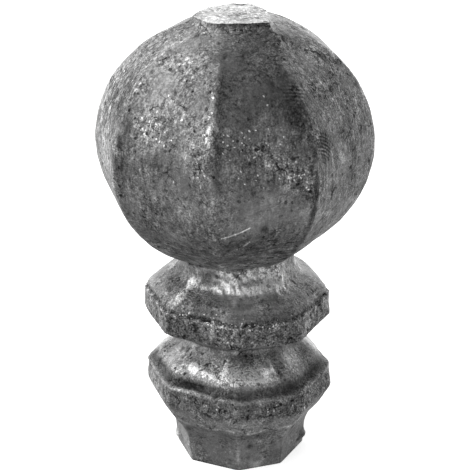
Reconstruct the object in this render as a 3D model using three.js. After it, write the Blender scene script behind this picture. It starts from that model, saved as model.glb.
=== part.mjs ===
// Forged post cap: one piece of steel, hammered to eight sides all the way up.
// A short flared foot carries two collars and a faceted ball with a flattened crown.
// Millimetres, +Z up. The origin is the middle of the flat underside, and -Y is the front.
// Azimuths run from the front towards +X. Widths are measured across opposite ridges.
import * as THREE from 'three';

// Foot: a short shank that flares out to the lower collar
const FOOT_WIDTH = 28.4;
const SHANK_WIDTH = 29.4;
const SHANK_HEIGHT = 3;
const FLARE_WIDTH = 35.7;
const FLARE_HEIGHT = 7.3;
const FLARE_BOW = 2.9;

// Lower collar, from the flare up: undercut, upright band, slope, shoulder
const LOWER_UNDERCUT_HEIGHT = 4.9;
const LOWER_EDGE_WIDTH = 41.8;
const LOWER_BAND_HEIGHT = 4.8;
const LOWER_TOP_WIDTH = 40.7;
const LOWER_SLOPE_HEIGHT = 5.9;
const LOWER_SHOULDER_WIDTH = 28.2;
const LOWER_SHOULDER_HEIGHT = 2.1;

// Upper collar, from the waist between the collars up
const UPPER_UNDERCUT_HEIGHT = 4.3;
const UPPER_EDGE_WIDTH = 41.5;
const UPPER_BAND_HEIGHT = 5.9;
const UPPER_TOP_WIDTH = 40.6;
const UPPER_SLOPE_HEIGHT = 3.9;
const UPPER_SHOULDER_WIDTH = 28.4;
const UPPER_SHOULDER_HEIGHT = 2.5;

// The two waists, under the ball and between the collars
const WAIST_WIDTH = 25.2;
const WAIST_HEIGHT = 2.2;

// Ball: an upright egg section, cut by the waist below and the crown above
const BALL_WIDTH = 60;
const BALL_HEIGHT = 55;
const CROWN_WIDTH = 16;
const CROWN_STAND = 1.1;
const CROWN_BEVEL = 1.2;

// Ridges: how crisp they are, how far round they stand, and how proud a slope bows
const SIDES = 8;
const RIDGE_POWER = 85;
const WAIST_POWER = 14;
const COLLAR_TURN = -4.7;
const BALL_TURN = -9.2;
const SLOPE_BOW = 0.35;

// Hand-forged unevenness: how far each flat stands out (+) or in (-), as a share of its
// distance from the axis, starting with the flat just to the right of the front ridge
const COLLAR_FLATS = [0.035, -0.01, -0.011, -0.009, 0, 0.003, -0.006, 0];
const BALL_FLATS = [0.006, -0.03, 0.014, 0.024, 0, -0.01, 0.021, 0.016];
const CROWN_FLATS = [0, 0.02, 0.024, 0.03, 0.02, -0.11, 0.028, -0.025];
const EVEN_FLATS = new Array(SIDES).fill(0);

// Fineness of the faceted surface
const POINTS_PER_FLAT = 8;
const FLARE_RINGS = 6;
const BALL_RINGS = 30;

const HALF_SIDE = Math.PI / SIDES;

// The kinds of section that the rings have
const COLLAR_SECTION = { turn: COLLAR_TURN, flats: COLLAR_FLATS, power: RIDGE_POWER };
const WAIST_SECTION = { turn: COLLAR_TURN, flats: EVEN_FLATS, power: WAIST_POWER };
const BALL_SECTION = { turn: BALL_TURN, flats: BALL_FLATS, power: RIDGE_POWER };
const CROWN_SECTION = { turn: BALL_TURN, flats: CROWN_FLATS, power: RIDGE_POWER };

/** A ring of the surface: its section, its radius at an even ridge and its height. */
function ring(section, radius, z) {
  return { section, radius, z };
}

/** Azimuth of a flat's middle. */
function flatAzimuth(section, side) {
  return THREE.MathUtils.degToRad(section.turn) + HALF_SIDE * (2 * side + 1);
}

/** Azimuth of the ridge before a flat, where its plane crosses that of the flat before it. */
function ridgeAzimuth(section, side) {
  const before = 1 + section.flats[(side + SIDES - 1) % SIDES];
  const after = 1 + section.flats[side % SIDES];
  const shift = Math.atan((after - before) / ((after + before) * Math.tan(HALF_SIDE)));
  return flatAzimuth(section, side) - HALF_SIDE + shift;
}

/** Distance of a ring from the axis: the eight flats, blended by a high power at the ridges. */
function distanceAt({ section, radius }, azimuth) {
  const flatDistance = radius * Math.cos(HALF_SIDE);
  let sum = 0;
  for (let side = 0; side < SIDES; side++) {
    const facing = Math.max(0, Math.cos(azimuth - flatAzimuth(section, side)));
    sum += (facing / (flatDistance * (1 + section.flats[side]))) ** section.power;
  }
  return (2 / sum) ** (1 / section.power);
}

/** The points of a ring, closer together towards the ridges. */
function ringPoints(one) {
  const points = [];
  for (let side = 0; side < SIDES; side++) {
    const start = ridgeAzimuth(one.section, side);
    const end = ridgeAzimuth(one.section, side + 1);
    for (let i = 0; i < POINTS_PER_FLAT; i++) {
      const share = (1 - Math.cos((Math.PI * i) / POINTS_PER_FLAT)) / 2;
      const azimuth = start + (end - start) * share;
      const distance = distanceAt(one, azimuth);
      points.push(new THREE.Vector3(
        distance * Math.sin(azimuth), -distance * Math.cos(azimuth), one.z));
    }
  }
  return points;
}

/** The foot: a slightly tapered shank, then a hollow flare. */
function footRings() {
  const shank = new THREE.Vector2(SHANK_WIDTH / 2, SHANK_HEIGHT);
  const top = new THREE.Vector2(FLARE_WIDTH / 2, SHANK_HEIGHT + FLARE_HEIGHT);
  const bow = new THREE.Vector2(shank.x, top.y - FLARE_BOW);
  const flare = new THREE.QuadraticBezierCurve(shank, bow, top).getPoints(FLARE_RINGS);
  const rings = flare.map((point) => ring(COLLAR_SECTION, point.x, point.y));
  rings.unshift(ring(COLLAR_SECTION, FOOT_WIDTH / 2, 0));
  return rings;
}

/** A collar on top of what is below: undercut, band, bowed slope, shoulder and waist. */
function collarRings(z, size) {
  const edge = z + size.undercutHeight;
  const top = edge + size.bandHeight;
  const shoulder = top + size.slopeHeight;
  const midRadius = (size.topWidth + size.shoulderWidth) / 4 + SLOPE_BOW;
  return [
    ring(COLLAR_SECTION, size.edgeWidth / 2, edge),
    ring(COLLAR_SECTION, size.topWidth / 2, top),
    ring(COLLAR_SECTION, midRadius, (top + shoulder) / 2 + SLOPE_BOW),
    ring(COLLAR_SECTION, size.shoulderWidth / 2, shoulder),
    ring(WAIST_SECTION, WAIST_WIDTH / 2, shoulder + size.shoulderHeight),
  ];
}

/** The ball: half an ellipse for its outline, from the waist round to the crown's bevel. */
function ballRings(z) {
  const wide = BALL_WIDTH / 2;
  const tall = BALL_HEIGHT / 2;
  const start = -Math.acos(WAIST_WIDTH / 2 / wide);
  const end = Math.acos((CROWN_WIDTH / 2 + CROWN_BEVEL) / wide);
  const centre = z - tall * Math.sin(start);
  const rings = [];
  for (let i = 0; i <= BALL_RINGS; i++) {
    const angle = start + ((end - start) * i) / BALL_RINGS;
    rings.push(ring(BALL_SECTION, wide * Math.cos(angle), centre + tall * Math.sin(angle)));
  }
  const rim = centre + tall * Math.sin(Math.acos(CROWN_WIDTH / 2 / wide));
  rings.push(ring(CROWN_SECTION, CROWN_WIDTH / 2, rim + CROWN_STAND));
  return rings;
}

/** Height of the last ring of a stack. */
function topOf(rings) {
  return rings[rings.length - 1].z;
}

/** Every ring of the cap, from the underside to the crown. */
function capRings() {
  const rings = footRings();
  rings.push(...collarRings(topOf(rings), {
    undercutHeight: LOWER_UNDERCUT_HEIGHT,
    edgeWidth: LOWER_EDGE_WIDTH,
    bandHeight: LOWER_BAND_HEIGHT,
    topWidth: LOWER_TOP_WIDTH,
    slopeHeight: LOWER_SLOPE_HEIGHT,
    shoulderWidth: LOWER_SHOULDER_WIDTH,
    shoulderHeight: LOWER_SHOULDER_HEIGHT,
  }));
  rings.push(...collarRings(topOf(rings), {
    undercutHeight: UPPER_UNDERCUT_HEIGHT,
    edgeWidth: UPPER_EDGE_WIDTH,
    bandHeight: UPPER_BAND_HEIGHT,
    topWidth: UPPER_TOP_WIDTH,
    slopeHeight: UPPER_SLOPE_HEIGHT,
    shoulderWidth: UPPER_SHOULDER_WIDTH,
    shoulderHeight: UPPER_SHOULDER_HEIGHT,
  }));
  rings.push(...ballRings(topOf(rings) + WAIST_HEIGHT));
  return rings;
}

/** One closed skin over a stack of rings, with a flat fan at each end. */
function skin(rings) {
  const columns = SIDES * POINTS_PER_FLAT;
  const points = rings.flatMap(ringPoints);
  const bottomCentre = points.push(new THREE.Vector3(0, 0, rings[0].z)) - 1;
  const topCentre = points.push(new THREE.Vector3(0, 0, topOf(rings))) - 1;
  const lastRow = (rings.length - 1) * columns;
  const index = [];
  for (let column = 0; column < columns; column++) {
    const next = (column + 1) % columns;
    index.push(bottomCentre, next, column);
    index.push(topCentre, lastRow + column, lastRow + next);
    for (let row = 0; row < lastRow; row += columns) {
      index.push(row + column, row + next, row + columns + next);
      index.push(row + column, row + columns + next, row + columns + column);
    }
  }
  const geometry = new THREE.BufferGeometry().setFromPoints(points);
  geometry.setIndex(index);
  return geometry;
}

const forgedSteel = new THREE.MeshStandardMaterial({
  color: 0x686868,
  roughness: 0.55,
  metalness: 0.85,
  flatShading: true,
});

const cap = new THREE.Mesh(skin(capRings()), forgedSteel);
cap.name = 'post_cap';

const part = new THREE.Group();
part.add(cap);

export default part;
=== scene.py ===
import itertools
import math

import bpy
import numpy as np
from mathutils import Matrix, Vector


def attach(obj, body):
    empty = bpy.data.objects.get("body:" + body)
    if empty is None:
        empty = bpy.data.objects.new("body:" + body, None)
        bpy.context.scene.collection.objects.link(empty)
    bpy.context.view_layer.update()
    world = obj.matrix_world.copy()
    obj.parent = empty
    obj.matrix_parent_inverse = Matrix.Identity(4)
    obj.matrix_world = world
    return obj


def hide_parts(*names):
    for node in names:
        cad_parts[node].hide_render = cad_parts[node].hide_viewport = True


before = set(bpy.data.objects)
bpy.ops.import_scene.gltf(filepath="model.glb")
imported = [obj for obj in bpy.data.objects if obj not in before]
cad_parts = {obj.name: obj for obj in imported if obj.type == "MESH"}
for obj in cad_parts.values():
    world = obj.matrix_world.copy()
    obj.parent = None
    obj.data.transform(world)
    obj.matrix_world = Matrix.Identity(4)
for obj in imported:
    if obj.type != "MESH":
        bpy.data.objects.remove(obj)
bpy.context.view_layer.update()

MM = 0.001
SIDES = 8
HALF_SIDE = math.pi / SIDES

# The form, as in the solid, in millimetres
FOOT_WIDTH = 28.4
SHANK_WIDTH = 29.4
SHANK_HEIGHT = 3.0
FLARE_WIDTH = 35.7
FLARE_HEIGHT = 7.3
FLARE_BOW = 2.9
WAIST_WIDTH = 25.2
WAIST_HEIGHT = 2.2
SLOPE_BOW = 0.35
LOWER_COLLAR = dict(undercut=4.9, edge=41.8, band=4.8, top=40.7, slope=5.9, shoulder=28.2, rise=2.1)
UPPER_COLLAR = dict(undercut=4.3, edge=41.5, band=5.9, top=40.6, slope=3.9, shoulder=28.4, rise=2.5)
BALL_WIDTH = 60.0
BALL_HEIGHT = 55.0
CROWN_WIDTH = 16.0
CROWN_STAND = 1.1
CROWN_BEVEL = 1.2

# Heights where the foot, the collars and the ball begin and end
FLARE_TOP = SHANK_HEIGHT + FLARE_HEIGHT
LOWER_EDGE = FLARE_TOP + LOWER_COLLAR["undercut"]
LOWER_TOP = LOWER_EDGE + LOWER_COLLAR["band"]
LOWER_SHOULDER = LOWER_TOP + LOWER_COLLAR["slope"]
UPPER_EDGE = LOWER_SHOULDER + LOWER_COLLAR["rise"] + UPPER_COLLAR["undercut"]
UPPER_TOP = UPPER_EDGE + UPPER_COLLAR["band"]
UPPER_SHOULDER = UPPER_TOP + UPPER_COLLAR["slope"]
BALL_START = UPPER_SHOULDER + UPPER_COLLAR["rise"] + WAIST_HEIGHT

# The flats: the way that they face in degrees, and how far in or out the hammer left each, as
# a share of its distance from the axis. The crown's have a turn of their own each and follow
# the photograph, where the solid's are closer to an even octagon. The ball's flats go the
# crown's share of the way to them.
COLLAR_TURN = -4.7
BALL_TURN = -9.2
CROWN_TURNS = (-12, 34, 15, 27, 18, 3, 14, 1)
COLLAR_FLATS = (0.035, -0.01, -0.011, -0.009, 0, 0.003, -0.006, 0)
BALL_FLATS = (0.006, -0.03, 0.014, 0.024, 0, -0.01, 0.021, 0.016)
CROWN_FLATS = (-0.08, -0.03, 0.01, 0.22, 0.04, -0.01, -0.005, 0.02)
CROWN_SHARE = 0.55

# Powers of the blend between the flats: the higher, the sharper the ridges
RIDGE_POWER = 85
BAND_POWER = 32
SLOPE_POWER = 20
WAIST_POWER = 14

# Heights between which the ball's flats turn to the crown's ways
CROWN_TURN_START = 94.0
CROWN_TURN_END = 98.5

# The mesh: columns on each flat, spacing of the rows, how far the edges are worn round, the
# distance of one more row from the crown's rim, and the steps that the outline is worked out in
COLUMNS_PER_FLAT = 50
ROW_STEP = 0.58
EDGE_SOFTNESS = 0.4
RIM_WIDTH = 0.07
FINE_STEP = 0.1
FLARE_STEPS = 12
BALL_STEPS = 90

# Rings that close the underside and the crown, as shares of the radius at their rims
BASE_RINGS = np.linspace(0.12, 0.97, 7)
CROWN_RINGS = np.array([0.99, 0.93, 0.85, 0.77, 0.69, 0.61, 0.53, 0.45, 0.36, 0.27, 0.18, 0.09])

# The collars lie a little askew: they drop by this much for each millimetre towards +X
COLLAR_SKEW = 0.03


def section(turn, flats, power, turns=(0,) * SIDES):
    """One kind of cross section: the log of the blend's power, the azimuths of its flats, which
    are an eighth of a round apart but for their turns, and their unevenness."""
    azimuths = [turn + shift + 45 * k + 22.5 for k, shift in enumerate(turns)]
    return (math.log(power), *azimuths, *flats)


COLLAR = section(COLLAR_TURN, COLLAR_FLATS, RIDGE_POWER)
BAND = section(COLLAR_TURN, COLLAR_FLATS, BAND_POWER)
SLOPE = section(COLLAR_TURN, COLLAR_FLATS, SLOPE_POWER)
WAIST = section(COLLAR_TURN, (0,) * SIDES, WAIST_POWER)
BALL = section(BALL_TURN, BALL_FLATS, RIDGE_POWER)
CROWN = section(BALL_TURN, CROWN_FLATS, RIDGE_POWER, CROWN_TURNS)


def foot_turns():
    """Turning points of the foot, radius, height and section, with a hollow curve for the
    flare: a parabola through the shank's top and the flare's top."""
    low = np.array([SHANK_WIDTH / 2, SHANK_HEIGHT])
    high = np.array([FLARE_WIDTH / 2, FLARE_TOP])
    bow = np.array([low[0], high[1] - FLARE_BOW])
    t = np.linspace(0, 1, FLARE_STEPS)[:, None]
    flare = (1 - t) ** 2 * low + 2 * t * (1 - t) * bow + t**2 * high
    return [(FOOT_WIDTH / 2, 0.0, COLLAR)] + [(r, z, COLLAR) for r, z in flare]


def collar_turns(z, size):
    """Turning points of a collar on top of height z: its parts stacked on each other, with the
    middle of the slope bowed out and up."""
    edge = z + size["undercut"]
    top = edge + size["band"]
    shoulder = top + size["slope"]
    middle = (size["top"] + size["shoulder"]) / 4 + SLOPE_BOW
    return [
        (size["edge"] / 2, edge, BAND),
        (size["top"] / 2, top, BAND),
        (middle, (top + shoulder) / 2 + SLOPE_BOW, SLOPE),
        (size["shoulder"] / 2, shoulder, SLOPE),
        (WAIST_WIDTH / 2, shoulder + size["rise"], WAIST),
    ]


def ball_turns(z):
    """Points of the ball from height z up: half an ellipse, cut by the crown. Over the last bit
    below the crown the flats turn from the ball's ways to the crown's, and their distances
    from the axis go the crown's share of the way."""
    wide, tall = BALL_WIDTH / 2, BALL_HEIGHT / 2
    start = -math.acos(WAIST_WIDTH / 2 / wide)
    end = math.acos((CROWN_WIDTH / 2 + CROWN_BEVEL) / wide)
    centre = z - tall * math.sin(start)
    points = []
    for angle in np.linspace(start, end, BALL_STEPS):
        height = centre + tall * math.sin(angle)
        near_crown = float(rise(height, CROWN_TURN_START, CROWN_TURN_END))
        kind = np.array(BALL) + near_crown * (np.array(CROWN) - np.array(BALL))
        apart = np.array(CROWN_FLATS) - np.array(BALL_FLATS)
        kind[1 + SIDES:] = BALL_FLATS + CROWN_SHARE * near_crown * apart
        points.append((wide * math.cos(angle), height, tuple(kind)))
    rim = centre + tall * math.sin(math.acos(CROWN_WIDTH / 2 / wide))
    points.append((CROWN_WIDTH / 2, rim + CROWN_STAND, CROWN))
    return points


def cap_turns():
    """All turning points of the cap's side, from the underside's rim to the crown's."""
    turns = foot_turns()
    turns += collar_turns(turns[-1][1], LOWER_COLLAR)
    turns += collar_turns(turns[-1][1], UPPER_COLLAR)
    turns += ball_turns(turns[-1][1] + WAIST_HEIGHT)
    return turns


def soften(values, sigma):
    """Running mean of each column under a bell curve, sigma samples wide, with the ends held."""
    reach = int(4 * sigma) + 1
    bell = np.exp(-0.5 * (np.arange(-reach, reach + 1) / sigma) ** 2)
    bell /= bell.sum()
    first = 2 * values[0] - values[reach:0:-1]
    last = 2 * values[-1] - values[-2:-reach - 2:-1]
    padded = np.concatenate([first, values, last])
    return np.stack([np.convolve(column, bell, "valid") for column in padded.T], axis=1)


def side_rows():
    """The side's rows, evenly spaced along the outline but for one more by the crown's rim, with
    turns softened like worn edges: radius, height, the log of the power, and the flats'
    azimuths and unevenness."""
    table = np.array([[r, z, *kind] for r, z, kind in cap_turns()])
    along = np.r_[0, np.cumsum(np.hypot(np.diff(table[:, 0]), np.diff(table[:, 1])))]
    fine = np.linspace(0, along[-1], int(along[-1] / FINE_STEP) + 1)
    dense = np.stack([np.interp(fine, along, column) for column in table.T], axis=1)
    smooth = soften(dense, EDGE_SOFTNESS / FINE_STEP)
    at = np.append(np.linspace(0, fine[-1], int(along[-1] / ROW_STEP)), fine[-1] - RIM_WIDTH)
    at.sort()
    return np.stack([np.interp(at, fine, column) for column in smooth.T], axis=1)


def ridge_azimuths(facing, distance):
    """Azimuths where each flat crosses the one before it: both flats' distances from the axis,
    divided by the cosines of the angles to the ridge, are the same there."""
    before = np.roll(facing, 1, axis=1)
    before[:, 0] -= 2 * math.pi
    nearer = np.roll(distance, 1, axis=1)
    turn = facing - before
    return before + np.arctan2(distance - nearer * np.cos(turn), nearer * np.sin(turn))


def side_grid(rows):
    """Azimuth, radius and distance to the nearest ridge on a grid of rows and columns.
    Columns share out each flat evenly. The radius blends the distances of the eight flats:
    each one's cosine over its distance to a high power, summed, and the root of half the sum
    inverted, which is a flat-sided outline with slightly rounded ridges."""
    radius, power = rows[:, 0], np.exp(rows[:, 2])
    facing, flats = np.radians(rows[:, 3:3 + SIDES]), rows[:, 3 + SIDES:]
    distance = radius[:, None] * math.cos(HALF_SIDE) * (1 + flats)
    ridges = ridge_azimuths(facing, distance)
    ridges = np.concatenate([ridges, ridges[:, :1] + 2 * math.pi], axis=1)
    share = np.arange(COLUMNS_PER_FLAT) / COLUMNS_PER_FLAT
    width = np.diff(ridges)[:, :, None]
    azimuth = (ridges[:, :-1, None] + width * share).reshape(len(rows), -1)
    to_ridge = (width * np.minimum(share, 1 - share)).reshape(len(rows), -1) * radius[:, None]
    cosine = np.cos(azimuth[:, :, None] - facing[:, None, :])
    nearest = np.maximum(cosine, 0) * distance.mean() / distance[:, None, :]
    blend = (nearest ** power[:, None, None]).sum(axis=2)
    return azimuth, distance.mean() * (2 / blend) ** (1 / power[:, None]), to_ridge


def hashed(cells, seed):
    """Three fixed random numbers from 0 to 1 for each whole-numbered cell: its three indices
    are mixed with the seed by multiplying and shifting bits."""
    x, y, z = np.moveaxis(cells.astype(np.int64), -1, 0)
    mixed = (x * 73856093) ^ (y * 19349663) ^ (z * 83492791) ^ (seed * 2654435761)
    numbers = []
    for channel in range(3):
        bits = (mixed + channel * 0x9E3779B9) & 0xFFFFFFFF
        bits = ((bits ^ (bits >> 16)) * 0x45D9F3B) & 0xFFFFFFFF
        bits = ((bits ^ (bits >> 16)) * 0x45D9F3B) & 0xFFFFFFFF
        numbers.append((bits ^ (bits >> 16)) / 2**32)
    return np.stack(numbers, axis=-1)


def noise(points, size, seed):
    """Smooth noise from about -1 to 1 with lumps of a given size in millimetres: on a lattice
    of random slopes, each point blends what its eight corners' slopes give there."""
    places = points / size
    cell = np.floor(places)
    within = places - cell
    ease = within**3 * (within * (within * 6 - 15) + 10)
    total = np.zeros(points.shape[:-1])
    for corner in itertools.product((0, 1), repeat=3):
        slope = hashed(cell + corner, seed) * 2 - 1
        weight = np.prod(np.where(corner, ease, 1 - ease), axis=-1)
        total += weight * (slope * (within - corner)).sum(axis=-1)
    return total * 1.6


def fractal(points, size, octaves, seed):
    """Noise summed at halving sizes and halving strengths."""
    return sum(noise(points, size / 2**i, seed + i) / 2**i for i in range(octaves))


def craters(points, spacing, radius, share, seed):
    """Round hollows, 0 outside and 1 at the middle: each lattice cell holds one with the given
    likelihood, at a random place and of a random size between the two radii."""
    cell = np.floor(points / spacing)
    deepest = np.zeros(points.shape[:-1])
    for step in itertools.product((-1, 0, 1), repeat=3):
        near = cell + step
        centre = (near + hashed(near, seed)) * spacing
        chance = hashed(near, seed + 1)
        reach = radius[0] + (radius[1] - radius[0]) * chance[..., 1] ** 2
        away = np.linalg.norm(points - centre, axis=-1) / reach
        hollow = np.clip(1 - away**2, 0, 1) * (chance[..., 0] < share)
        deepest = np.maximum(deepest, hollow)
    return deepest


def rise(values, low, high):
    """0 up to low, 1 from high on, and an even curve between; low may be the larger one."""
    t = np.clip((values - low) / (high - low), 0, 1)
    return t * t * (3 - 2 * t)


def between(values, low, high, soft):
    """1 between low and high, falling off over a soft edge."""
    return rise(values, low - soft, low + soft) * (1 - rise(values, high - soft, high + soft))


def line_at(values, middle, width):
    """1 at the middle and falling like a bell on both sides."""
    return np.exp(-(((values - middle) / width) ** 2))


class Place:
    """Where each grid point lies: its point, azimuth in degrees, radius and height, its
    distance to the nearest ridge, and how far it belongs to each part of the form."""

    def __init__(self, points, azimuth, to_ridge):
        self.points = points
        self.azimuth = (np.degrees(azimuth) + 180) % 360 - 180
        self.radius = np.hypot(points[..., 0], points[..., 1])
        self.height = height = points[..., 2]
        self.to_ridge = to_ridge
        self.below_rim = height.max() - height
        self.crown = 1 - rise(self.below_rim, 0.01, 0.04)
        self.foot = 1 - rise(height, FLARE_TOP - 1.5, FLARE_TOP + 1.5)
        self.lower_band = between(height, LOWER_EDGE, LOWER_TOP, 0.4)
        self.upper_band = between(height, UPPER_EDGE, UPPER_TOP, 0.4)
        self.upper_slope = between(height, UPPER_TOP, UPPER_SHOULDER, 0.6)
        self.upper_shoulder = between(height, UPPER_SHOULDER, BALL_START, 0.6)
        self.ball = rise(height, BALL_START - 1.0, BALL_START + 1.0)
        bend = np.stack([noise(points, 1.6, 24 + axis) for axis in range(3)], axis=-1)
        self.pits = craters(points + 0.5 * bend, 2.8, (0.45, 1.15), 0.32, 21)
        self.notch = self.patch(168, height.max(), 1.2, 2.0) * rise(self.radius, 7.0, 7.6)
        self.crinkled = self.upper_shoulder * between(self.azimuth, -24, 48, 5)
        wander = 0.25 * noise(points, 4, 61)
        self.upper_line = height - UPPER_TOP + wander
        self.lower_line = height - LOWER_TOP + wander
        self.lap_line = height - FLARE_TOP - 0.6 + 1.1 * noise(points * np.array([1, 1, 0]), 4.5, 81)

    def patch(self, azimuth, height, wide, tall):
        """A soft round patch: 1 at an azimuth and height, and falling like a bell."""
        turn = (self.azimuth - azimuth + 180) % 360 - 180
        across = np.radians(turn) * self.radius
        return np.exp(-((across / wide) ** 2) - ((self.height - height) / tall) ** 2)

    def patches(self, table):
        """The sum of patches given as azimuth, height, width, height and amount."""
        return sum(amount * self.patch(*where) for *where, amount in table)


def surface_normals(points):
    """Outward normals of a closed-round grid, from its differences along rows and columns."""
    round_way = np.roll(points, -1, axis=1) - np.roll(points, 1, axis=1)
    up_way = np.gradient(points, axis=0)
    normals = np.cross(round_way, up_way)
    return normals / np.maximum(np.linalg.norm(normals, axis=-1, keepdims=True), 1e-9)


# Where lips and creases run round: millimetres over the top of the collar's band
UPPER_LIP = -1.0
UPPER_CREASE = -0.25
LOWER_LIP = -0.2
LOWER_CREASE = 1.1

# How deep or tall each kind of relief is, in millimetres
RELIEF = dict(
    long_waves=0.16,
    short_waves=0.1,
    dents=0.16,
    pits=0.28,
    skin=0.06,
    rough=0.18,
    rough_pits=0.34,
    upper_crease=0.45,
    lower_crease=0.35,
    upper_lip=0.22,
    lower_lip=0.3,
    flakes=0.34,
    flakes_sunk=0.1,
    lap=0.32,
    sunk=0.18,
    less_sunk_at_rim=0.13,
    rim_dips=0.24,
    notch=0.35,
)

# Lumps (+) and hollows (-) that the photograph shows: azimuth, height, width, height, amount
LUMPS = (
    (-10.5, 82.3, 0.7, 1.4, 0.32),
    (-47, 40.6, 1.3, 2.4, 0.22),
    (-33, 24.2, 2.0, 0.8, 0.45),
    (-24, 23.7, 1.6, 0.6, 0.35),
    (-8.5, 24.9, 1.0, 1.8, 0.42),
    (23.5, 24.5, 1.2, 0.9, 0.8),
    (20, 43.4, 2.2, 0.8, 0.4),
    (8, 43.1, 2.4, 0.7, 0.35),
    (33, 42.4, 0.8, 0.9, 0.3),
    (-37, 21.5, 4.5, 0.6, -0.5),
    (-34, 20.1, 5.0, 0.5, 0.3),
    (9, 5.8, 0.6, 0.5, -0.35),
    (14, 8.8, 0.5, 0.4, -0.3),
    (-88, 1.9, 1.6, 0.9, 0.75),
    (82, 2.0, 1.6, 0.9, 0.75),
    (13, 61.4, 0.9, 0.8, -0.3),
)


def relief(place):
    """How far the hammered and scaled surface stands out (+) or in (-), in millimetres. Smooth
    noise for the hammering, less round dents and pits, plus the scale's skin, all of it
    fainter on the crown; then the lips, torn flakes, the lap and the named lumps are added,
    and the bands' roughness, the creases, the rim's dips and the notch are taken off."""
    p = place.points
    size = RELIEF
    upper, lower = place.upper_line, place.lower_line
    bands = np.maximum(place.lower_band, place.upper_band)
    hammered = size["long_waves"] * noise(p, 15, 1) + size["short_waves"] * noise(p, 6.5, 2)
    dents = size["dents"] * craters(p, 9, (3.0, 5.5), 0.7, 11) * (0.4 + 0.6 * place.ball)
    pits = size["pits"] * place.pits**0.7
    skin = size["skin"] * fractal(p, 2.4, 3, 31)
    rough = size["rough"] * fractal(p, 2.6, 3, 41)
    rough = (rough + size["rough_pits"] * craters(p, 1.9, (0.4, 0.9), 0.5, 51)) * bands
    creases = size["upper_crease"] * line_at(upper, UPPER_CREASE, 0.42)
    creases += size["lower_crease"] * line_at(lower, LOWER_CREASE, 0.6)
    lips = size["upper_lip"] * line_at(upper, UPPER_LIP, 0.4)
    lips += size["lower_lip"] * line_at(lower, LOWER_LIP, 0.5)
    crests = 1 - 2.2 * np.abs(fractal(p * np.array([1, 1, 2.0]), 2.0, 3, 71))
    torn = 0.3 * place.upper_shoulder + 0.7 * place.crinkled
    flakes = (size["flakes"] * crests - size["flakes_sunk"]) * torn
    lap = size["lap"] * rise(place.lap_line, -0.3, 0.3) * place.foot
    smooth_crown = 1 - 0.7 * place.crown
    worn = (hammered - dents - pits + skin) * smooth_crown
    sunken = size["sunk"] - size["less_sunk_at_rim"] * rise(place.below_rim, 0.6, 0.0)
    dips = size["rim_dips"] * rise(noise(p, 3.4, 171), -0.1, 0.6) * line_at(place.below_rim, 0, 0.5)
    standing = lips + flakes + lap + place.patches(LUMPS)
    return standing + worn - sunken - rough - creases - dips - size["notch"] * place.notch


# Paler (+) and darker (-) places: stains of the finish, and painted light and shade: azimuth, height, width,
# height, amount
STAINS_AND_PAINTED_SHADING = (
    (12, 88, 7.0, 6.5, -0.18),
    (14, 94.5, 5.5, 3.0, -0.16),
    (-66, 84, 4.0, 6.0, -0.2),
    (-76, 90, 5.0, 6.0, -0.12),
    (-40, 93, 4.5, 3.0, 0.1),
    (54, 96.4, 5.0, 2.6, -0.22),
    (-59, 80.5, 2.2, 5.5, -0.24),
    (-76, 82.5, 4.5, 3.5, -0.2),
    (-34, 79, 5.0, 3.0, -0.03),
    (-36, 75.5, 4.0, 2.0, -0.14),
    (-25, 89, 3.0, 3.0, -0.1),
    (-64, 85.5, 1.4, 3.0, -0.14),
    (29, 86.5, 2.4, 6.5, -0.26),
    (55, 88, 10, 8.0, -0.05),
    # Painted shade: the lower ball darker in front, where it faces down away from the light
    (0, 56, 30, 5.0, -0.18),
    (10, 65, 10, 5.0, -0.06),
    (26, 71, 3.0, 5.0, -0.05),
    (-51.5, 77, 1.5, 8.0, -0.24),
    # Painted shade along the right ridge, where the flat turns from the light, and painted light beside it
    (33.5, 64, 0.7, 8.0, -0.4),
    (36, 64, 0.9, 7.0, 0.1),
    (41, 77.5, 2.0, 3.2, -0.2),
    (-46, 24, 4.0, 2.5, -0.12),
    (-6.5, 84, 0.8, 11, -0.22),
    (-10, 92, 0.8, 5.0, 0.12),
    (-32, 91, 9.0, 6.0, 0.06),
    (-30, 78, 9.0, 7.0, 0.04),
    (13, 61.4, 0.9, 0.8, -0.3),
    (-47, 40.6, 1.0, 2.2, 0.22),
    (4, 40.4, 5.0, 1.8, 0.12),
    # Painted light at the top of the upper collar's slope and painted shade lower down, evening out how the
    # light falls with the slope's tilt
    (8, 41.7, 11, 0.6, 0.2),
    (10, 39.2, 12, 0.7, -0.13),
    (-35, 40.5, 4.0, 2.0, -0.06),
    (50, 40.5, 3.5, 2.0, -0.1),
    (-44, 35.5, 3.0, 2.5, -0.16),
    (8, 35.5, 5.0, 2.5, 0.06),
    (44, 35.0, 3.0, 2.5, 0.12),
    (-66, 44, 4.0, 3.0, -0.2),
    (-84, 42.5, 4.0, 3.0, -0.15),
    (21, 40.3, 5.0, 2.0, 0.22),
    (12, 24.6, 4.5, 2.0, 0.3),
    (24, 27, 3.0, 1.2, 0.1),
    (-60, 40.5, 4.0, 2.5, -0.12),
    (-70, 23.5, 5.0, 3.0, -0.2),
    (-84, 25.3, 3.5, 2.0, -0.25),
    (62, 23.0, 7.0, 3.0, -0.22),
    (76, 24.8, 4.0, 2.2, -0.25),
    (-17, 25.8, 2.0, 1.2, -0.12),
    (8, 26.2, 2.5, 1.0, -0.14),
    (32, 24.6, 1.6, 1.6, -0.2),
    (-37, 21.4, 4.5, 0.6, -0.3),
    (-34, 20.2, 5.0, 0.5, 0.2),
    (9, 5.8, 0.5, 0.4, -0.3),
    (14, 8.8, 0.4, 0.4, -0.3),
    (15, 0.9, 1.3, 0.4, 0.3),
    (-86, 2.0, 1.0, 0.8, 0.5),
    (-95, 75, 8.0, 12, -0.04),
)

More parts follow.
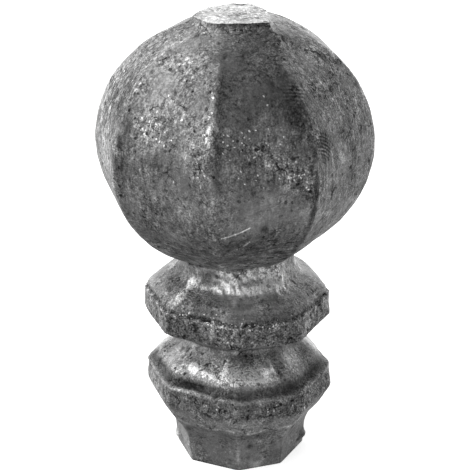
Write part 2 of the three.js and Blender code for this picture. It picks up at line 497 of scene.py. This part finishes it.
# Blots with torn edges, paler (+) or darker (-): azimuth, height, width, height, amount
BLOTS = (
    (-10.9, 82.3, 0.8, 1.7, 0.27),
    (-46, 42.8, 1.5, 1.3, 0.26),
    (-45.5, 40.9, 1.1, 1.7, 0.26),
    (41, 77.5, 2.2, 3.2, -0.16),
    (16, 66, 6.5, 4.2, 0.06),
    (-3, 63, 3.0, 4.0, 0.06),
    (-28, 44.3, 2.6, 1.6, -0.28),
    (-2, 43.6, 3.4, 1.5, 0.42),
    (14, 43.8, 3.0, 1.5, 0.42),
    (34, 43.6, 2.4, 1.2, 0.2),
    (-17.4, 35.8, 0.8, 2.2, 0.3),
    (-35, 24.2, 2.2, 1.0, 0.45),
    (-25, 23.7, 2.0, 0.7, 0.42),
    (-8, 24.9, 1.6, 1.8, 0.16),
    (-12.3, 24.8, 0.45, 1.4, 0.28),
    (-4.2, 23.7, 0.5, 1.2, 0.32),
    (21, 24.3, 2.1, 0.75, 0.4),
    (26, 25.3, 0.6, 0.9, 0.34),
    (120, 43.6, 5.0, 1.4, 0.3),
    (-140, 43.6, 4.0, 1.4, 0.3),
    (170, 24.6, 4.0, 1.6, 0.28),
    (-110, 24.4, 3.0, 1.5, 0.28),
)


# How much each thing raises (+) or lowers (-) the tone
TONE = dict(
    middle=0.53,
    mottle=0.12,
    ridges=0.16,
    # Painted light: the upper shoulder's band paler, where it faces up into the light
    shoulder=0.1,
    crinkled=0.2,
    crinkles=0.4,
    foot=-0.05,
    # Painted light on the lower slope's bright band, and painted shade at its steeper start
    painted_light_lower_slope=0.24,
    painted_shade_slope_start=-0.26,
    upper_crease=-0.3,
    lower_lip=0.18,
    bands=-0.1,
    pits=-0.2,
    # Painted light: the crown's top paler, where it faces up into the light
    crown=0.29,
    notch=-0.5,
    # Painted shade under the crown's rim on the front
    painted_shade_under_rim=-0.28,
    # Painted highlight along the crown's right bevel
    painted_highlight_right_bevel=0.25,
    upper_lip=0.22,
    lap=0.26,
)


def brightness(place):
    """How bright the steel's colour is: how far it is rubbed clean, from 0, thick dark scale, to 1,
    rubbed metal, with painted light and shade on top. A middle tone with slow noise, raised along
    worn ridges, on the lips and the lap, and with painted light on the upper shoulder, the lower
    slope, the crown and its right bevel; lowered on the foot and the bands, in the pits, the creases
    and the notch, and with painted shade at the lower slope's start and under the crown's rim in
    front. Then the torn blots and the soft stains, some of them painted light and shade, are added."""
    p = place.points
    upper, lower = place.upper_line, place.lower_line
    side = 1 - place.crown
    tone = TONE["middle"] + TONE["mottle"] * fractal(p, 7, 3, 101) * (1 - 0.5 * place.crown)
    tone += TONE["ridges"] * line_at(place.to_ridge, 0, 0.6) * rise(noise(p, 3, 111), -0.3, 0.5)
    # Painted light: the upper shoulder's band made paler where it faces up into the light
    tone += TONE["shoulder"] * place.upper_shoulder
    tone += TONE["crinkled"] * place.crinkled * rise(noise(p, 3.5, 121), -0.6, 0.3)
    crinkles = rise(fractal(p * np.array([1, 1, 2.4]), 1.5, 3, 125), -0.1, 0.35)
    tone += place.crinkled * (TONE["crinkles"] * crinkles - 0.02)
    tone += TONE["foot"] * place.foot
    # Painted light on the lower collar slope's band that faces the light, and painted shade on its steeper
    # start, which turns away
    tone += TONE["painted_light_lower_slope"] * between(place.height, LOWER_TOP + 2.6, LOWER_SHOULDER + 0.2, 0.8)
    tone += TONE["painted_shade_slope_start"] * between(place.height, LOWER_TOP + 0.2, LOWER_TOP + 1.9, 0.4)
    tone += TONE["upper_crease"] * line_at(upper, UPPER_CREASE, 0.4)
    tone += TONE["lower_lip"] * line_at(lower, -0.3, 0.4)
    tone += TONE["bands"] * (place.lower_band + place.upper_band)
    tone += TONE["pits"] * place.pits
    # Painted light: the crown's top made paler where it faces up into the light; the notch made darker
    tone += TONE["crown"] * place.crown + TONE["notch"] * place.notch
    # Painted shade: a dark band just under the crown's rim on the side that faces the front
    front = rise(np.cos(np.radians(place.azimuth - 15)), 0.4, 0.8)
    tone += TONE["painted_shade_under_rim"] * line_at(place.below_rim, 0.2, 0.35) * side * front
    # Painted highlight: a pale strip on the crown's right bevel
    tone += TONE["painted_highlight_right_bevel"] * place.patch(88, 98.9, 4.0, 0.9) * side
    tone += TONE["upper_lip"] * line_at(upper, UPPER_LIP, 0.5) * rise(noise(p, 1.4, 161), -0.1, 0.3)
    tone += TONE["lap"] * line_at(place.lap_line, 0.25, 0.3) * rise(noise(p, 3.0, 163), -0.4, 0.2)
    torn = 0.5 * fractal(p, 1.5, 2, 151)
    for *where, amount in BLOTS:
        tone += amount * rise(place.patch(*where) * (1 + torn), 0.3, 0.6)
    # The soft stains and the patches of painted light and shade are added last
    return np.clip(tone + place.patches(STAINS_AND_PAINTED_SHADING), 0, 1)


# Smoother (-) and rougher (+) places: azimuth, height, width, height, amount
ROUGH_PLACES = (
    (13, 89, 8.0, 6.0, -0.35),
    (13, 64.5, 8.5, 5.0, -0.5),
    (-38, 80.5, 5.0, 4.0, 0.3),
    (-32, 91, 8.0, 5.0, -0.32),
    (4, 24.5, 9.0, 1.5, 0.2),
    (-22, 76, 4.0, 5.0, -0.2),
    (-10, 85, 2.0, 8.0, 0.3),
    (28, 73, 4.0, 4.0, 0.3),
    (5, 78, 8.0, 4.0, 0.1),
    (-10, 24, 16, 2.5, 0.65),
    (-50, 41, 6.0, 3.0, 0.6),
    (-75, 80, 6.0, 14, 0.25),
)


def grittiness(place):
    """How strong the scale's fine texture is, from smooth to coarse: a middle value with slow
    noise, plus or minus an amount on each part, plus the named places, kept above 0.15."""
    grit = 0.55 + 0.4 * fractal(place.points, 6, 2, 131)
    grit += 0.2 * place.lower_band + 0.42 * place.upper_band - 0.25 * place.foot
    grit -= 0.14 * place.crown
    grit -= 0.25 * (place.upper_slope + between(place.height, LOWER_TOP + 1, LOWER_SHOULDER + 2, 0.6))
    return np.clip(grit + place.patches(ROUGH_PLACES), 0.15, 1.1)


# Where rubbed bright flecks crowd: azimuth, height, width, height, amount
FLECKED_PLACES = (
    (-42, 82.6, 2.6, 1.5, 1.0),
    (-33, 80, 2.6, 1.4, 0.9),
    (-26, 73.5, 2.0, 1.2, 0.6),
    (7, 80, 7.0, 2.0, 0.42),
    (8, 76, 8.0, 8.0, 0.22),
    (28, 72, 1.6, 2.6, 0.9),
    (-11, 88, 1.0, 5.0, 0.6),
    (-20, 38, 12, 1.2, 0.5),
    (15, 37.4, 12, 1.2, 0.5),
    (10, 17, 14, 2.0, 0.4),
)


def flecking(place):
    """How crowded the rubbed bright flecks are, from 0 to 1: a little where a slow noise is
    high, plus the named places."""
    spread = 0.25 * rise(fractal(place.points, 5, 2, 141), 0.2, 0.9)
    return np.clip(spread + place.patches(FLECKED_PLACES), 0, 1)


def levelness(place):
    """How strong the level scratches are: most low on the ball, faint on the foot."""
    return 0.8 * between(place.height, BALL_START, 56.5, 2.5) + 0.25 * place.foot


def drawing(place):
    """How strong the upward streaks are: most on the ball's left, faint on the collars."""
    left = 0.8 * place.patch(-80, 78, 12, 18) + 0.5 * place.patch(-45, 90, 10, 7)
    return 0.1 + place.ball * (0.7 + left)


def make_mesh(name, points, faces):
    """A smooth mesh object at the origin from points in millimetres."""
    mesh = bpy.data.meshes.new(name)
    mesh.from_pydata((points * MM).tolist(), [], faces)
    mesh.polygons.foreach_set("use_smooth", np.ones(len(mesh.polygons), bool))
    piece = bpy.data.objects.new(name, mesh)
    bpy.context.scene.collection.objects.link(piece)
    return piece


def store(piece, name, grid):
    """Keeps a value for each grid point, and the end rows' means for the two end points."""
    values = np.concatenate([grid.ravel(), [grid[0].mean(), grid[-1].mean()]])
    layer = piece.data.attributes.new(name, "FLOAT", "POINT")
    layer.data.foreach_set("value", values.astype(np.float32))


def closed_skin(grid):
    """Faces over a grid of rows that close round on themselves, with a fan of triangles at
    each end to one more point, which the caller adds last."""
    rows, columns = grid.shape[:2]
    index = np.arange(rows * columns).reshape(rows, columns)
    after = np.roll(index, -1, axis=1)
    quads = np.stack([index[:-1], after[:-1], after[1:], index[1:]], axis=2).reshape(-1, 4)
    low, high = rows * columns, rows * columns + 1
    low_fan = np.stack([np.full(columns, low), after[0], index[0]], axis=1)
    high_fan = np.stack([np.full(columns, high), index[-1], after[-1]], axis=1)
    return quads.tolist() + low_fan.tolist() + high_fan.tolist()


def shrunk(ring, shares):
    """Copies of a ring drawn in to the given shares of its radius, at the ring's heights."""
    scale = np.stack([shares, shares, np.ones_like(shares)], axis=1)
    return ring[None] * scale[:, None, :]


def forging():
    """The whole skin: the side, and the underside and crown that close it to their centres.
    Each point moves along its normal by the relief, which fades out at the underside, and the
    collars sink towards +X in even proportion to X."""
    rows = side_rows()
    azimuth, radius, to_ridge = side_grid(rows)
    height = np.broadcast_to(rows[:, 1:2], radius.shape)
    side = np.stack([radius * np.sin(azimuth), -radius * np.cos(azimuth), height], axis=2)
    grid = np.concatenate([shrunk(side[0], BASE_RINGS), side, shrunk(side[-1], CROWN_RINGS)])
    ends = ((len(BASE_RINGS), len(CROWN_RINGS)), (0, 0))
    place = Place(grid, np.pad(azimuth, ends, mode="edge"), np.pad(to_ridge, ends, mode="edge"))
    inside_crown = np.arange(len(grid)) >= len(BASE_RINGS) + len(side)
    place.to_ridge[inside_crown] = CROWN_WIDTH
    off_base = rise(place.height, 0.0, 0.8)
    moved = grid + surface_normals(grid) * (relief(place) * off_base)[..., None]
    askew = between(place.height, FLARE_TOP - 2, UPPER_SHOULDER + 2, 3.0)
    moved[..., 2] = np.maximum(moved[..., 2] - COLLAR_SKEW * moved[..., 0] * askew, 0)
    centres = [[0, 0, 0], moved[-1].mean(axis=0)]
    piece = make_mesh("forged_cap", np.concatenate([moved.reshape(-1, 3), centres]), closed_skin(grid))
    store(piece, "bare_and_painted_light", brightness(place))
    store(piece, "grit", grittiness(place))
    store(piece, "flecks", flecking(place))
    store(piece, "level", levelness(place))
    store(piece, "drawn", drawing(place))
    return piece


def linear(code):
    """A colour from its sRGB hex code."""
    channels = [int(code[i:i + 2], 16) / 255 for i in (1, 3, 5)]
    return (*[c / 12.92 if c <= 0.04045 else ((c + 0.055) / 1.055) ** 2.4 for c in channels], 1)


def add(tree, kind, feeds=(), **settings):
    """Adds a node: settings are its properties, feeds its sockets' values or sources."""
    node = tree.nodes.new(kind)
    for name, value in settings.items():
        setattr(node, name, value)
    for name, value in dict(feeds).items():
        if isinstance(value, bpy.types.NodeSocket):
            tree.links.new(value, node.inputs[name])
        else:
            node.inputs[name].default_value = value
    return node


# Colours of the steel from thick dark scale to rubbed metal
SCALE_COLOURS = (
    (0.0, "#262626"),
    (0.3, "#565656"),
    (0.55, "#808080"),
    (0.8, "#b4b4b4"),
    (1.0, "#f8f8f8"),
)

# Fine scratches: centre and radius of a ball whose cut with the skin is the scratch, then
# middle and reach of the part that shows, and its strength
SCRATCHES = (
    ((-5.6, -26.6, 77.6), 17.5, (-0.1, -26.6, 61.0), 3.2, 0.6),
    ((-6.0, -24.5, 66.0), 11.4, (2.0, -24.5, 57.8), 1.0, 0.6),
    ((-20.0, 12.2, 93.3), 16.0, (-16.6, -3.5, 93.3), 3.4, 0.3),
    ((-20.4, 10.6, 92.4), 16.0, (-17.2, -5.2, 92.4), 2.4, 0.35),
)

# Faint ripples about 0.65 mm apart: centre of the rings, their spacing, middle and reach
RIPPLES = (
    ((13.5, -23.5, 69.5), 0.62, (18.2, -21.3, 77.5), 3.6),
    ((10.0, -22.0, 74.0), 0.62, (11.8, -20.0, 88.5), 3.2),
)


# Noises of the scale: how far the place is stretched along each axis, size of the lumps in
# millimetres, detail, roughness, contrast, and the value on the mesh that says where it shows.
# They are the mottle, the grain, upright streaks and level scratches. The real scale's grain
# and scratches are too fine to show in the render, so both are drawn coarser.
SCALE_NOISES = (
    ((1.0, 1.0, 1.0), 1.3, 4.0, 0.75, 1.5, "everywhere"),
    ((1.0, 1.0, 1.0), 0.38, 2.0, 0.7, 1.7, "everywhere"),
    ((1.0, 1.0, 0.22), 0.7, 2.0, 0.6, 1.2, "drawn"),
    ((0.3, 0.3, 1.5), 0.8, 1.0, 0.5, 1.8, "level"),
)

# Cells of the scale's marks: their spacing in millimetres, and how far the noise that bends
# them moves them for each unit
PIT_SPACING = 1.2
FLECK_SPACING = 0.75
CRACK_SPACING = 2.6
PIT_BEND = 1.3
CRACK_BEND = 1.6

# Lumps in millimetres of the noise that bends the cells, and of the one that is high where
# the scale has cracked
BENDING_SIZE = 1.5
CRACKED_SIZE = 3.4

# Half the width of a fine scratch, in millimetres, drawn wide enough to show, and how
# strong the ripples are at the middle of their patch
SCRATCH_HALF_WIDTH = 0.16
RIPPLE_STRENGTH = 0.4

# What the marks do to the tone: pits and cracks darken it, flecks and scratches brighten it,
# and the texture counts by this much at no grit and by this much more for each unit of grit
DARKENING = -0.55
BRIGHTENING = 0.6
LEAST_TEXTURE = 0.12
GRIT_TEXTURE = 0.9

# The steel's shine: rougher in thick scale than where it is rubbed, and nearly all metal, then
# the depth of its fine bumps in millimetres and how strongly they show
SCALE_ROUGHNESS = 0.6
RUBBED_ROUGHNESS = 0.38
METALNESS = 0.9
BUMP_DEPTH = 0.13
BUMP_STRENGTH = 0.9


def scale_texture(tree, mm, carried):
    """The scale's noises summed, each centred on zero and times its contrast and how strongly
    it shows there."""
    total = 0.0
    for stretch, size, detail, roughness, contrast, shown in SCALE_NOISES:
        place = add(tree, "ShaderNodeVectorMath", {0: mm, 1: stretch}, operation="MULTIPLY")
        feeds = {"Vector": place.outputs[0], "Scale": 1 / size, "Detail": detail, "Roughness": roughness}
        lumps = add(tree, "ShaderNodeTexNoise", feeds)
        feeds = {0: lumps.outputs["Fac"], 1: contrast, 2: -contrast / 2}
        centred = add(tree, "ShaderNodeMath", feeds, operation="MULTIPLY_ADD")
        feeds = {0: centred.outputs[0], 1: carried.get(shown, 1.0), 2: total}
        total = add(tree, "ShaderNodeMath", feeds, operation="MULTIPLY_ADD").outputs[0]
    return total


def bent_place(tree, mm, warp, amount):
    """The place in millimetres, moved by a noise's colour times an amount."""
    feeds = {0: warp, 1: (amount, amount, amount), 2: mm}
    return add(tree, "ShaderNodeVectorMath", feeds, operation="MULTIPLY_ADD").outputs[0]


def pits_and_cracks(tree, mm, warp):
    """Where the scale is broken through. Pits: round, at the middles of bent cells, the wider
    the more the cell's random number is over a half. Cracks: along the edges of larger bent
    cells, where a slow noise is high. The darker of the two counts."""
    feeds = {"Vector": bent_place(tree, mm, warp, PIT_BEND), "Scale": 1 / PIT_SPACING}
    cells = add(tree, "ShaderNodeTexVoronoi", feeds)
    chance = add(tree, "ShaderNodeSeparateColor", {"Color": cells.outputs["Color"]}).outputs["Red"]
    size = add(tree, "ShaderNodeMapRange", {"Value": chance, "From Min": 0.5, "To Min": 0.02, "To Max": 0.4})
    feeds = {0: size.outputs[0], 1: cells.outputs["Distance"]}
    inner = add(tree, "ShaderNodeMath", feeds, operation="SUBTRACT")
    pit = add(tree, "ShaderNodeMapRange", {"Value": inner.outputs[0], "From Max": 0.1})
    feeds = {"Vector": bent_place(tree, mm, warp, CRACK_BEND), "Scale": 1 / CRACK_SPACING}
    edges = add(tree, "ShaderNodeTexVoronoi", feeds, feature="DISTANCE_TO_EDGE")
    feeds = {"Value": edges.outputs["Distance"], "From Min": 0.06, "From Max": 0.02}
    crack = add(tree, "ShaderNodeMapRange", feeds)
    torn = add(tree, "ShaderNodeTexNoise", {"Vector": mm, "Scale": 1 / CRACKED_SIZE, "Detail": 1.0})
    feeds = {"Value": torn.outputs["Fac"], "From Min": 0.57, "From Max": 0.68}
    where = add(tree, "ShaderNodeMapRange", feeds)
    cracks = add(tree, "ShaderNodeMath", {0: crack.outputs[0], 1: where.outputs[0]}, operation="MULTIPLY")
    feeds = {0: pit.outputs[0], 1: cracks.outputs[0]}
    return add(tree, "ShaderNodeMath", feeds, operation="MAXIMUM").outputs[0]


def rubbed_marks(tree, mm, warp, crowding):
    """Bright marks. Flecks: round, at the middles of the bent cells whose random number is
    under how crowded the flecks are there. Scratches: where the surface of a ball cuts the
    skin, within reach of a middle. The brightest counts."""
    feeds = {"Vector": bent_place(tree, mm, warp, PIT_BEND), "Scale": 1 / FLECK_SPACING}
    spots = add(tree, "ShaderNodeTexVoronoi", feeds)
    rank = add(tree, "ShaderNodeSeparateColor", {"Color": spots.outputs["Color"]}).outputs["Green"]
    spared = add(tree, "ShaderNodeMath", {0: crowding, 1: rank}, operation="SUBTRACT")
    shown = add(tree, "ShaderNodeMapRange", {"Value": spared.outputs[0], "From Max": 0.12})
    feeds = {"Value": spots.outputs["Distance"], "From Min": 0.34, "From Max": 0.18}
    spot = add(tree, "ShaderNodeMapRange", feeds)
    marks = add(tree, "ShaderNodeMath", {0: shown.outputs[0], 1: spot.outputs[0]}, operation="MULTIPLY")
    for centre, radius, middle, reach, strength in SCRATCHES:
        away = add(tree, "ShaderNodeVectorMath", {0: mm, 1: centre}, operation="DISTANCE")
        feeds = {0: away.outputs["Value"], 1: radius, 2: SCRATCH_HALF_WIDTH}
        ring = add(tree, "ShaderNodeMath", feeds, operation="COMPARE")
        along = add(tree, "ShaderNodeVectorMath", {0: mm, 1: middle}, operation="DISTANCE")
        part = add(tree, "ShaderNodeMath", {0: along.outputs["Value"], 1: reach}, operation="LESS_THAN")
        arc = add(tree, "ShaderNodeMath", {0: ring.outputs[0], 1: part.outputs[0]}, operation="MULTIPLY")
        faint = add(tree, "ShaderNodeMath", {0: arc.outputs[0], 1: strength}, operation="MULTIPLY")
        feeds = {0: marks.outputs[0], 1: faint.outputs[0]}
        marks = add(tree, "ShaderNodeMath", feeds, operation="MAXIMUM")
    return marks.outputs[0]


def with_ripples(tree, mm, texture):
    """The texture plus ripples: each is the sine of the distance from a centre over the
    spacing, fading out with the distance from the patch's middle."""
    for centre, spacing, middle, reach in RIPPLES:
        away = add(tree, "ShaderNodeVectorMath", {0: mm, 1: centre}, operation="DISTANCE")
        feeds = {0: away.outputs["Value"], 1: 2 * math.pi / spacing}
        turn = add(tree, "ShaderNodeMath", feeds, operation="MULTIPLY")
        wave = add(tree, "ShaderNodeMath", {0: turn.outputs[0]}, operation="SINE")
        off = add(tree, "ShaderNodeVectorMath", {0: mm, 1: middle}, operation="DISTANCE")
        feeds = {"Value": off.outputs["Value"], "From Min": reach, "From Max": 0.0}
        feeds["To Max"] = RIPPLE_STRENGTH
        fade = add(tree, "ShaderNodeMapRange", feeds)
        feeds = {0: wave.outputs[0], 1: fade.outputs[0], 2: texture}
        texture = add(tree, "ShaderNodeMath", feeds, operation="MULTIPLY_ADD").outputs[0]
    return texture


def forged_steel():
    """Forged mild steel left with its fire scale: a thin dark grey oxide skin, pitted and
    half worn off, so it is mottled, half dull and half shiny like old graphite."""
    material = bpy.data.materials.new("forged_steel")
    material.use_nodes = True
    tree = material.node_tree
    shader = tree.nodes["Principled BSDF"]
    place = add(tree, "ShaderNodeTexCoord").outputs["Object"]
    mm = add(tree, "ShaderNodeVectorMath", {0: place, "Scale": 1 / MM}, operation="SCALE").outputs[0]
    carried = {
        name: add(tree, "ShaderNodeAttribute", attribute_name=name).outputs["Fac"]
        for name in ("bare_and_painted_light", "grit", "flecks", "level", "drawn")
    }
    warp = add(tree, "ShaderNodeTexNoise", {"Vector": mm, "Scale": 1 / BENDING_SIZE, "Detail": 2.0})
    broken = pits_and_cracks(tree, mm, warp.outputs["Color"])
    marks = rubbed_marks(tree, mm, warp.outputs["Color"], carried["flecks"])
    feeds = {0: broken, 1: DARKENING, 2: scale_texture(tree, mm, carried)}
    sunk = add(tree, "ShaderNodeMath", feeds, operation="MULTIPLY_ADD")
    rippled = with_ripples(tree, mm, sunk.outputs[0])

    # The texture by the grit, on top of how rubbed the steel is and the painted light and shade, with the
    # bright marks on top
    feeds = {0: carried["grit"], 1: GRIT_TEXTURE, 2: LEAST_TEXTURE}
    strength = add(tree, "ShaderNodeMath", feeds, operation="MULTIPLY_ADD")
    feeds = {0: rippled, 1: strength.outputs[0], 2: carried["bare_and_painted_light"]}
    varied = add(tree, "ShaderNodeMath", feeds, operation="MULTIPLY_ADD")
    feeds = {0: marks, 1: BRIGHTENING, 2: varied.outputs[0]}
    tone = add(tree, "ShaderNodeMath", feeds, operation="MULTIPLY_ADD").outputs[0]
    ramp = add(tree, "ShaderNodeValToRGB", {"Fac": tone})
    while len(ramp.color_ramp.elements) < len(SCALE_COLOURS):
        ramp.color_ramp.elements.new(0.5)
    for element, (position, code) in zip(ramp.color_ramp.elements, SCALE_COLOURS):
        element.position = position
        element.color = linear(code)
    tree.links.new(ramp.outputs["Color"], shader.inputs["Base Color"])
    feeds = {"Value": tone, "To Min": SCALE_ROUGHNESS, "To Max": RUBBED_ROUGHNESS}
    rough = add(tree, "ShaderNodeMapRange", feeds)
    tree.links.new(rough.outputs[0], shader.inputs["Roughness"])
    shader.inputs["Metallic"].default_value = METALNESS
    deep = add(tree, "ShaderNodeMath", {0: rippled, 1: strength.outputs[0]}, operation="MULTIPLY")
    feeds = {"Height": deep.outputs[0], "Distance": BUMP_DEPTH * MM, "Strength": BUMP_STRENGTH}
    bump = add(tree, "ShaderNodeBump", feeds)
    tree.links.new(bump.outputs[0], shader.inputs["Normal"])
    return material


# Light: the directions that it comes from and its strength in each, and how narrow each is
LIGHTS = (
    ((-0.85, 0, 0.53), 1.95),
    ((-0.53, 0.85, 0), 2.1),
    ((0.53, 0.85, 0), 1.85),
    ((0, 0.53, 0.85), 0.2),
    ((0, -0.53, 0.85), 0.55),
    ((0, -0.53, -0.85), 0.88),
    ((-0.53, -0.85, 0), 0.4),
    ((0.53, -0.85, 0), 0.35),
    ((0, 0, -1), 0.3),
)
LIGHT_POWER = 8.0


def studio_light():
    """A soft white surround made of broad lights: each is the cosine between a direction and
    the light's own, taken from 0 to 1, to a power, times its strength."""
    world = bpy.data.worlds.new("studio")
    bpy.context.scene.world = world
    world.use_nodes = True
    tree = world.node_tree
    surround = tree.nodes["Background"]
    surround.inputs["Color"].default_value = linear("#ffffff")
    direction = add(tree, "ShaderNodeTexCoord").outputs["Generated"]
    total = 0.0
    for toward, strength in LIGHTS:
        unit = Vector(toward).normalized()
        cosine = add(tree, "ShaderNodeVectorMath", {0: direction, 1: unit}, operation="DOT_PRODUCT")
        share = add(tree, "ShaderNodeMapRange", {"Value": cosine.outputs["Value"], "From Min": -1.0})
        curve = add(tree, "ShaderNodeMath", {0: share.outputs[0], 1: LIGHT_POWER}, operation="POWER")
        feeds = {0: curve.outputs[0], 1: strength, 2: total}
        total = add(tree, "ShaderNodeMath", feeds, operation="MULTIPLY_ADD").outputs[0]
    tree.links.new(total, surround.inputs["Strength"])


# The floor: how far it reaches from the middle in metres, and its glow
FLOOR_REACH = 3.0
FLOOR_GLOW = 0.65


def pale_floor():
    """A plain pale floor that glows faintly like lit paper, and isn't mirrored in the steel."""
    r = FLOOR_REACH
    mesh = bpy.data.meshes.new("floor")
    mesh.from_pydata([(-r, -r, 0), (r, -r, 0), (r, r, 0), (-r, r, 0)], [], [(0, 1, 2, 3)])
    floor = bpy.data.objects.new("floor", mesh)
    bpy.context.scene.collection.objects.link(floor)
    paint = bpy.data.materials.new("matt_white")
    paint.use_nodes = True
    shader = paint.node_tree.nodes["Principled BSDF"]
    shader.inputs["Base Color"].default_value = linear("#ffffff")
    shader.inputs["Roughness"].default_value = 0.9
    shader.inputs["Emission Color"].default_value = linear("#ffffff")
    shader.inputs["Emission Strength"].default_value = FLOOR_GLOW
    mesh.materials.append(paint)
    floor.visible_glossy = False
    floor.visible_diffuse = False


# Camera: distance, elevation and roll fitted to the photograph's outline, the point that it
# aims at, and pixels a millimetre at that point in a picture of the given width
CAMERA_DISTANCE = 400.0
CAMERA_ELEVATION = 22.436
CAMERA_SCALE = 4.617
CAMERA_AIM_X = -0.351
CAMERA_AIM_Z = 49.989
CAMERA_ROLL = -1.08
FRAME_PIXELS = 470
SENSOR = 36.0


def camera():
    """A camera that looks at the aim point from the front, raised and rolled a little. Its
    focal length gives the scale in pixels a millimetre at that point."""
    raised, rolled = math.radians(CAMERA_ELEVATION), math.radians(CAMERA_ROLL)
    away = Vector((0, -math.cos(raised), math.sin(raised)))
    up = Vector((0, math.sin(raised), math.cos(raised)))
    right = Vector((1, 0, 0))
    at = Vector((CAMERA_AIM_X, 0, CAMERA_AIM_Z)) + CAMERA_DISTANCE * away
    across = right * math.cos(rolled) + up * math.sin(rolled)
    upward = up * math.cos(rolled) - right * math.sin(rolled)
    data = bpy.data.cameras.new("camera")
    data.sensor_fit = "HORIZONTAL"
    data.sensor_width = SENSOR
    data.lens = SENSOR * CAMERA_SCALE * CAMERA_DISTANCE / FRAME_PIXELS
    data.clip_start = 0.01
    data.clip_end = 20.0
    viewer = bpy.data.objects.new("camera", data)
    columns = Matrix((across, upward, away)).transposed()
    viewer.matrix_world = Matrix.Translation(at * MM) @ columns.to_4x4()
    bpy.context.scene.collection.objects.link(viewer)
    bpy.context.scene.camera = viewer


piece = forging()
piece.data.materials.append(forged_steel())
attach(piece, "root")
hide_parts("post_cap")
studio_light()
pale_floor()
camera()
bpy.context.scene.view_settings.view_transform = "Standard"
